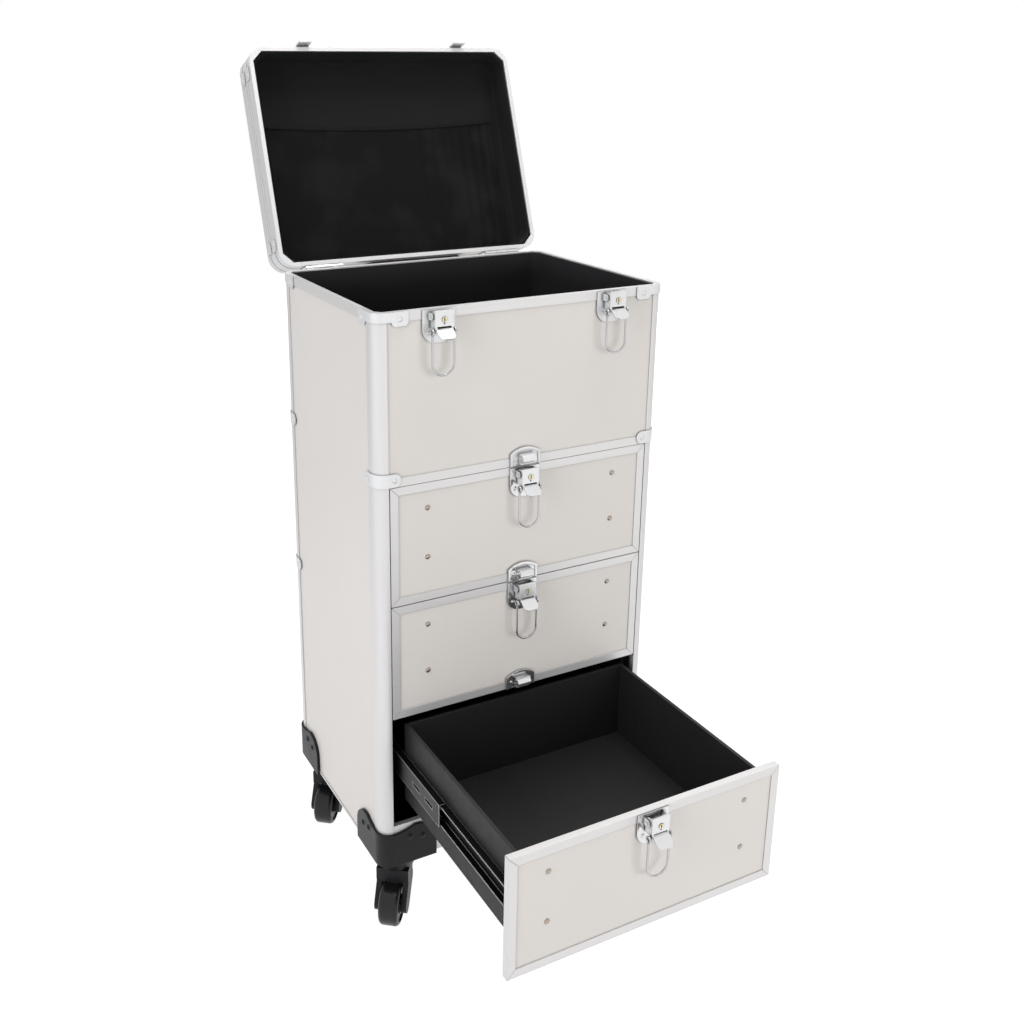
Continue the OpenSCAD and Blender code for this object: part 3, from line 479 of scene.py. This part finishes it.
def moulded_plastic():
    """Glossy moulded black with slight flow marks."""
    tree = ShaderTree.finish("moulded_plastic")
    flow = tree.noise(28.0, detail=3.0)
    plastic = colours().plastic
    tree.surface(
        Base_Color=tree.mix(flow, rgba(plastic, 0.8), rgba(plastic, 1.25)),
        Roughness=0.34 + 0.14 * flow,
        Normal=tree.bump(tree.noise(260.0), strength=0.04, distance=0.0003, normal=tree.bevel(0.0012)),
        Specular_IOR_Level=0.22,
    )
    return tree.owner


def wheel_rubber():
    """Hard rubber with dust on it."""
    tree = ShaderTree.finish("wheel_rubber")
    dust = tree.noise(55.0, detail=4.0)
    tread = colours().tread
    tree.surface(
        Base_Color=tree.mix(dust, rgba(tread, 0.8), rgba(tread, 1.5)),
        Roughness=0.20 + 0.2 * dust,
        Specular_IOR_Level=0.35,
        Normal=tree.bump(tree.noise(420.0), strength=0.08, distance=0.0003, normal=tree.bevel(0.001)),
    )
    return tree.owner


def turned_brass():
    """Brass of the key barrels, with painted shade that makes the key slot black."""
    tree = ShaderTree.finish("turned_brass")
    lines = tree.noise(500.0)
    brass = colours().brass
    slot_shade = (0.01, 0.01, 0.006, 1.0)
    tone = tree.mix(lines, rgba(brass, 0.85), rgba(brass, 1.1))
    tree.surface(
        # Painted shade: the key slot and the deepest hollows of the barrel turn black
        Base_Color=tree.mix(tree.crease_shade(0.0015) ** 3.0, slot_shade, tone),
        Metallic=1.0,
        Roughness=0.20 + 0.12 * lines,
        Normal=tree.bevel(0.0003),
    )
    return tree.owner


def lining_cloth():
    """Plain weave, dull, with a slight nap."""
    tree = ShaderTree.finish("lining_cloth")
    place = tree.place()
    warp = tree.node("ShaderNodeTexWave", {"bands_direction": "X"}, {"Vector": place, "Scale": 260.0})
    weft = tree.node("ShaderNodeTexWave", {"bands_direction": "DIAGONAL"}, {"Vector": place, "Scale": 200.0})
    nap = tree.noise(16.0, detail=3.0)
    cloth = colours().cloth
    tree.surface(
        Base_Color=tree.mix(nap, rgba(cloth, 0.8), rgba(cloth, 1.3)),
        Roughness=0.80 + 0.12 * nap,
        Normal=tree.bump(warp * weft, strength=0.2, distance=0.0003),
        Specular_IOR_Level=0.12,
        Sheen_Weight=0.02,
        Sheen_Roughness=0.4,
    )
    return tree.owner


def pocket_net():
    """Fine net, all but black, whose threads catch a little light in patches."""
    tree = ShaderTree.finish("pocket_net")
    threads = tree.noise(1400.0)
    patches = tree.ramp(tree.noise(22.0), (0.45, 0.0), (0.68, 1.0))
    net = colours().net
    tree.surface(
        Base_Color=tree.mix(threads * patches, rgba(net), rgba(net, 2.4)),
        Roughness=0.86,
        Specular_IOR_Level=0.12,
        Sheen_Weight=0.02,
        Sheen_Roughness=0.35,
    )
    return tree.owner


def hem_tape():
    """Ribbed elastic tape."""
    tree = ShaderTree.finish("hem_tape")
    ribs = tree.node("ShaderNodeTexWave", {"bands_direction": "X"}, {"Vector": tree.place(), "Scale": 300.0})
    cloth = colours().cloth
    tree.surface(
        Base_Color=tree.mix(ribs, rgba(cloth, 0.6), rgba(cloth, 1.1)),
        Roughness=0.84,
        Normal=tree.bump(ribs, strength=0.3, distance=0.0003),
        Specular_IOR_Level=0.10,
    )
    return tree.owner


def finish_of(node):
    """Which finish a CAD node takes."""
    if node in ("side_panels", "back_panel", "upper_front_panel", "lid_panel"):
        return "cream"
    if node.startswith("drawer"):
        return DRAWER_FINISHES[node.split("_")[2]]
    if node in ("corner_posts", "handle_tubes"):
        return "satin_z"
    if node in ("body_rails", "lid_frame"):
        return "satin_x"
    if node == "inner_boards":
        return "board"
    if node.startswith("slide"):
        return "zinc"
    if node in ("caster_shoes", "handle_grip") or node.startswith("fork"):
        return "plastic"
    if node.startswith("wheel"):
        return "rubber"
    if node in ("body_fittings", "lid_fittings"):
        return "pressed"
    if node.startswith("lock"):
        return "brass"
    if node.startswith("ring"):
        return "wire"
    return "bright"


# Mesh helpers


def new_piece(name, mesh, material, body):
    """Links a mesh piece that rides on a body and takes the finish that is passed in."""
    piece = bpy.data.objects.new(name, mesh)
    bpy.context.scene.collection.objects.link(piece)
    mesh.materials.append(material)
    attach(piece, body)
    return piece


def mesh_of(name, points, faces, smooth=True):
    """A mesh from points and faces, with normals made even."""
    mesh = bpy.data.meshes.new(name)
    mesh.from_pydata(points, [], faces)
    work = bmesh.new()
    work.from_mesh(mesh)
    bmesh.ops.recalc_face_normals(work, faces=work.faces)
    work.to_mesh(mesh)
    work.free()
    if smooth:
        mesh.shade_smooth()
    return mesh


def material(name):
    """A finish that has been made."""
    return bpy.data.materials[name]


def with_lid(point):
    """Turns a point of the closed lid to where the open lid stands."""
    return HINGE + Matrix.Rotation(-LID_OPEN, 3, "X") @ (Vector(point) - HINGE)


def round_ring(w, d, chamfer, per_side, per_corner=8):
    """Points round a rectangle whose round corners touch corners cut off by a chamfer."""
    radius = chamfer * (1 + 1 / math.sqrt(2))
    ring = []
    for quarter, (sx, sy) in enumerate(((1, -1), (1, 1), (-1, 1), (-1, -1))):
        centre = Vector((sx * (w - radius), sy * (d - radius)))
        turns = [math.pi / 2 * (quarter - 1 + k / per_corner) for k in range(per_corner + 1)]
        arc = [centre + radius * Vector((math.cos(turn), math.sin(turn))) for turn in turns]
        if ring:
            ring += [ring[-1].lerp(arc[0], s / per_side) for s in range(1, per_side)]
        ring += arc
    ring += [ring[-1].lerp(ring[0], s / per_side) for s in range(1, per_side)]
    return ring


def lining_shell(name, half_w, half_d, chamfer, rim, floor, thick, fillet, place):
    """A cloth lining: an edge turned over the wall, walls and a floor that meet in a soft bend.

    rim and floor are heights with the lid shut, and place turns such a point to the frame.
    """
    way = 1 if rim > floor else -1
    inner = 1.2 * thick
    steps = 6
    profile = [(0.0, rim - way * 3 * thick), (0.0, rim - way * thick), (0.4 * thick, rim),
               (1.1 * thick, rim - way * 0.4 * thick)]
    profile += [(inner, rim + (floor - rim) * k / steps) for k in range(1, steps - 1)]
    for k in range(steps + 1):
        turn = math.pi / 2 * k / steps
        profile.append((inner + fillet * (1 - math.cos(turn)), floor + way * fillet * (1 - math.sin(turn))))
    points, faces, rings = [], [], []
    for inset, height in profile:
        ring = round_ring(half_w - inset, half_d - inset, chamfer, per_side=12)
        rings.append(range(len(points), len(points) + len(ring)))
        points += [place((x, y, height)) for x, y in ring]
    count = len(rings[0])
    for low, high in zip(rings, rings[1:]):
        faces += [(low[k], low[(k + 1) % count], high[(k + 1) % count], high[k]) for k in range(count)]
    faces.append(tuple(rings[-1]))
    return mesh_of(name, points, faces)


def block_mesh(name, low, high):
    """A block between two corners."""
    points = [(x, y, z) for x in (low.x, high.x) for y in (low.y, high.y) for z in (low.z, high.z)]
    faces = [(0, 1, 3, 2), (4, 6, 7, 5), (0, 4, 5, 1), (2, 3, 7, 6), (0, 2, 6, 4), (1, 5, 7, 3)]
    return mesh_of(name, points, faces, smooth=False)


def strip_tube(name, path, radius, sides=8):
    """A round tube along a path of points."""
    points, faces = [], []
    for k, point in enumerate(path):
        before, after = path[max(k - 1, 0)], path[min(k + 1, len(path) - 1)]
        along = (after - before).normalized()
        side = along.cross(Vector((0, 0, 1)))
        side = side.normalized() if side.length > 1e-6 else Vector((1, 0, 0))
        up = side.cross(along)
        for s in range(sides):
            turn = 2 * math.pi * s / sides
            points.append(point + radius * (math.cos(turn) * side + math.sin(turn) * up))
    for k in range(len(path) - 1):
        for s in range(sides):
            a, b = k * sides + s, k * sides + (s + 1) % sides
            faces.append((a, b, b + sides, a + sides))
    faces.append(tuple(range(sides)))
    faces.append(tuple(range(len(points) - sides, len(points))))
    return mesh_of(name, points, faces)


# Pieces


class MAKEUPCASE_OT_finishes(bpy.types.Operator):
    """Makes the finishes and gives one to every CAD node"""

    bl_idname = "makeupcase.finishes"
    bl_label = "Finishes"

    def execute(self, context):
        made = {
            "cream": cream_laminate(),
            "satin_x": satin_aluminium("satin_along_x", "x"),
            "satin_z": satin_aluminium("satin_along_z", "z"),
            "bright": bright_plate("bright_plate", colours().chrome, metal=0.8, rough=0.12),
            "pressed": bright_plate("pressed_plate", colours().chrome, metal=0.4, rough=0.30),
            "fittings": bright_plate("drawer_plate", colours().chrome, metal=0.9, rough=0.07,
                                     screw_x=SCREW_X),
            # Painted shade: the rings take a darker copy of the chrome, for the darker room they mirror
            "wire": bright_plate("ring_wire", colours().wire, metal=1.0, rough=0.07),
            "board": covered_board(),
            "zinc": black_zinc(),
            "plastic": moulded_plastic(),
            "rubber": wheel_rubber(),
            "brass": turned_brass(),
        }
        shadow_black()
        lining_cloth()
        pocket_net()
        hem_tape()
        for name, node in NODES.items():
            node.data.materials.clear()
            node.data.materials.append(made[finish_of(name)])
        return {"FINISHED"}


def lid_levels():
    """Heights of the closed lid's rim and of its lining's floor."""
    rim = RAILS_HIGH.z + 2 * (HINGE.z - RAILS_HIGH.z)
    return rim, rim + LID_H - DECK_T - LINING_T


class MAKEUPCASE_OT_linings(bpy.types.Operator):
    """Lines the lid and the top tray with cloth"""

    bl_idname = "makeupcase.linings"
    bl_label = "Cloth Linings"

    def execute(self, context):
        fillet = context.scene.case_pocket.fillet
        cloth = material("lining_cloth")
        half_w = RAILS_HIGH.x - LID_WALL
        half_d = RAILS_HIGH.y - LID_WALL
        rim, floor = lid_levels()
        mesh = lining_shell("lid_cloth", half_w, half_d, LID_CHAMFER, rim + LINING_T, floor, CLOTH_T, fillet,
                            with_lid)
        lid = new_piece("lid_cloth", mesh, cloth, "lid")
        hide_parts("lid_lining")
        depth = floor - rim
        w, d = 2 * half_w, 2 * half_d
        w + 2 * depth
        d + 2 * depth
        w * d + 2 * depth * (w + d)
        mesh = lining_shell("tray_cloth", LINING_HIGH.x, LINING_HIGH.y, TRAY_CHAMFER, LINING_HIGH.z,
                            LINING_LOW.z + LINING_T, CLOTH_T, fillet, Vector)
        tray = new_piece("tray_cloth", mesh, cloth, "case")
        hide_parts("compartment_lining")
        depth = LINING_HIGH.z - LINING_LOW.z
        w, d = 2 * LINING_HIGH.x, 2 * LINING_HIGH.y
        w + 2 * depth
        d + 2 * depth
        w * d + 2 * depth * (w + d)
        return {"FINISHED"}


class MAKEUPCASE_OT_pocket(bpy.types.Operator):
    """Hangs the gathered net pocket in the lid"""

    bl_idname = "makeupcase.pocket"
    bl_label = "Lid Pocket"

    def execute(self, context):
        sizes = context.scene.case_pocket
        half_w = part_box("lid_pocket")[1].x
        depth = sizes.depth
        rim, floor = lid_levels()
        back = RAILS_HIGH.y - LID_WALL - LINING_T - MM
        across, down = 240, 64

        def point(u, v):
            """A point of the net, with u across the lid and v from the seam to the hem."""
            seam = min(1.0, u / NET_SIDE, (1 - u) / NET_SIDE)
            swell = math.sin(math.pi * u) ** 0.5
            drop = sizes.bulge * swell * v ** 1.4
            fold = math.sin(2 * math.pi * (5.0 * u + 9.0 * u * u))
            fold *= math.sin(2 * math.pi * (2.3 * u + 0.2))
            drop += sizes.gather * fold * seam * (0.25 + 0.75 * u) * (0.3 + 0.7 * v)
            reach = depth - sizes.sag * (1 - (2 * u - 1) ** 2)
            narrow = sizes.corner * max(0.0, 1 - depth * v / (2 * sizes.corner)) ** 2
            return with_lid(((half_w - narrow) * (2 * u - 1), back - reach * v,
                             floor - NET_GAP - max(drop, -NET_SINK)))

        points = [point(a / across, b / down) for b in range(down + 1) for a in range(across + 1)]
        row = across + 1
        faces = [(b * row + a, b * row + a + 1, (b + 1) * row + a + 1, (b + 1) * row + a)
                 for b in range(down) for a in range(across)]
        net = new_piece("pocket_net", mesh_of("pocket_net", points, faces), material("pocket_net"),
                        "lid")
        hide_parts("lid_pocket")
        edge = points[down * row:]
        hem_mesh = strip_tube("pocket_hem", edge[::2], HEM_R)
        hem = new_piece("pocket_hem", hem_mesh, material("hem_tape"), "lid")
        foot = strip_tube("pocket_seam", points[:row][::4], SEAM_R)
        seam = new_piece("pocket_seam", foot, material("hem_tape"), "lid")
        length = sum((b - a).length for a, b in zip(edge, edge[1:]))
        return {"FINISHED"}


class MAKEUPCASE_OT_latches(bpy.types.Operator):
    """Sets a black leaf at the spring's place behind the slot and the hole of each latch lever, as painted
    shade inside the lever
    """

    bl_idname = "makeupcase.latches"
    bl_label = "Latch Leaves"

    def execute(self, context):
        sizes = context.scene.case_latch
        for name in LATCHES:
            pin = Vector(JOINTS[f"lever_{name}_hinge"]["pos_m"])
            low = pin + Vector((-sizes.leaf_w / 2, sizes.leaf_y, -sizes.leaf_drop))
            high = low + Vector((sizes.leaf_w, sizes.leaf_t, sizes.leaf_h))
            # Painted shade: a black leaf behind the lever's slot and hole
            mesh = block_mesh(f"latch_leaf_{name}", low, high)
            new_piece(f"latch_leaf_{name}", mesh, material("shadow_black"), f"lever_{name}")
        return {"FINISHED"}


# Stage


def area_light(name, place, aim, size, colour, mirrored, power):
    """A soft square lamp that looks at a point."""
    lamp = bpy.data.lights.new(name, "AREA")
    lamp.shape = "SQUARE"
    lamp.size = size
    lamp.energy = power
    lamp.color = colour
    made = bpy.data.objects.new(name, lamp)
    made.location = place
    made.rotation_euler = (Vector(aim) - Vector(place)).to_track_quat("-Z", "Y").to_euler()
    made.visible_glossy = mirrored
    bpy.context.scene.collection.objects.link(made)


def studio_floor():
    """A pale floor that shows as white and keeps a soft shadow.

    Behind the case its glow fades, so that bright metal turned that way mirrors a darker room.
    """
    tree = ShaderTree.finish("studio_floor")
    tree.surface(Base_Color=FLOOR_GREY, Roughness=0.9, Specular_IOR_Level=0.0)
    white = tree.node("ShaderNodeEmission", None, {"Color": WHITE, "Strength": FLOOR_GLOW})
    behind = tree.node("ShaderNodeSeparateXYZ", None, {0: tree.place()}, out="Y")
    # A ramp runs from 0 to 1, so distances are halved
    half = 0.5
    paper = tree.ramp(behind * half, (FADE_NEAR * half, 1.0), (FADE_FAR * half, BEHIND_SHARE))
    grey = Val(tree, tree.shader.outputs[0])
    tree.show(tree.node("ShaderNodeMixShader", None, {0: tree.seen(paper) * FLOOR_SHARE, 1: grey, 2: white}))
    mesh = bpy.data.meshes.new("floor")
    corners = [(x * FLOOR_HALF, y * FLOOR_HALF, 0) for x, y in ((-1, -1), (1, -1), (1, 1), (-1, 1))]
    mesh.from_pydata(corners, [], [(0, 1, 2, 3)])
    floor = bpy.data.objects.new("floor", mesh)
    mesh.materials.append(tree.owner)
    bpy.context.scene.collection.objects.link(floor)


def studio_world(level):
    """White to the eye and to bright metal, except low down behind the case, and a room light to the rest."""
    world = bpy.data.worlds.new("studio")
    bpy.context.scene.world = world
    tree = ShaderTree(world, "ShaderNodeOutputWorld")
    direction = tree.node("ShaderNodeTexCoord", out="Generated")
    up_or_ahead = tree.dot(direction, (0, -0.6, 1))
    paper = tree.ramp(up_or_ahead + 0.5, (0.4, BEHIND_SHARE), (0.6, 1.0))
    room = tree.node("ShaderNodeBackground", None, {"Color": WHITE, "Strength": level})
    white = tree.node("ShaderNodeBackground", None, {"Color": WHITE, "Strength": 1.0})
    tree.show(tree.node("ShaderNodeMixShader", None, {0: tree.seen(paper), 1: room, 2: white}))


class MAKEUPCASE_OT_stage(bpy.types.Operator):
    """Sets up the camera, the lamps and the floor"""

    bl_idname = "makeupcase.stage"
    bl_label = "Stage"

    def execute(self, context):
        stage = context.scene.case_stage
        context.scene.view_settings.view_transform = "Standard"
        data = bpy.data.cameras.new("camera")
        data.sensor_width = SENSOR_MM
        data.lens = stage.lens
        data.shift_x, data.shift_y = stage.shift
        data.clip_end = VIEW_END
        camera = bpy.data.objects.new("camera", data)
        turn = Matrix.Rotation(stage.yaw, 3, "Z") @ Matrix.Rotation(stage.pitch, 3, "X")
        turn = turn @ Euler((math.pi / 2, 0, 0)).to_matrix()
        camera.matrix_world = Matrix.Translation(Vector(stage.spot)) @ turn.to_4x4()
        context.scene.collection.objects.link(camera)
        context.scene.camera = camera
        studio_world(stage.ambient)
        studio_floor()
        for name, lamp in LAMPS.items():
            area_light(name, *lamp, getattr(stage, name))
        return {"FINISHED"}


class MAKEUPCASE_PT_panel(bpy.types.Panel):
    """Lists the settings and the operators"""

    bl_idname = "MAKEUPCASE_PT_panel"
    bl_label = "Makeup Case"
    bl_space_type = "VIEW_3D"
    bl_region_type = "UI"
    bl_category = "Makeup Case"

    def draw(self, context):
        layout = self.layout
        for group in GROUPS:
            settings = getattr(context.scene, group)
            box = layout.box()
            for name in settings.bl_rna.properties.keys():
                if name not in ("rna_type", "name"):
                    box.prop(settings, name)
        for operator in OPERATORS:
            layout.operator(operator.bl_idname)


OPERATORS = (
    MAKEUPCASE_OT_stage,
    MAKEUPCASE_OT_finishes,
    MAKEUPCASE_OT_linings,
    MAKEUPCASE_OT_pocket,
    MAKEUPCASE_OT_latches,
)
GROUPS = {"case_colours": CaseColours, "case_pocket": CasePocket, "case_latch": CaseLatch,
          "case_stage": CaseStage}


def register():
    """Adds the settings, the operators and the panel to Blender."""
    for name, group in GROUPS.items():
        bpy.utils.register_class(group)
        setattr(bpy.types.Scene, name, bpy.props.PointerProperty(type=group))
    for operator in OPERATORS:
        bpy.utils.register_class(operator)
    bpy.utils.register_class(MAKEUPCASE_PT_panel)


def unregister():
    """Takes them out again."""
    bpy.utils.unregister_class(MAKEUPCASE_PT_panel)
    for operator in reversed(OPERATORS):
        bpy.utils.unregister_class(operator)
    for name, group in GROUPS.items():
        delattr(bpy.types.Scene, name)
        bpy.utils.unregister_class(group)


def main():
    """Builds the scene."""
    register()
    bpy.ops.makeupcase.stage()
    bpy.ops.makeupcase.finishes()
    bpy.ops.makeupcase.linings()
    bpy.ops.makeupcase.pocket()
    bpy.ops.makeupcase.latches()
    bpy.context.view_layer.update()


if __name__ == "__main__":
    main()
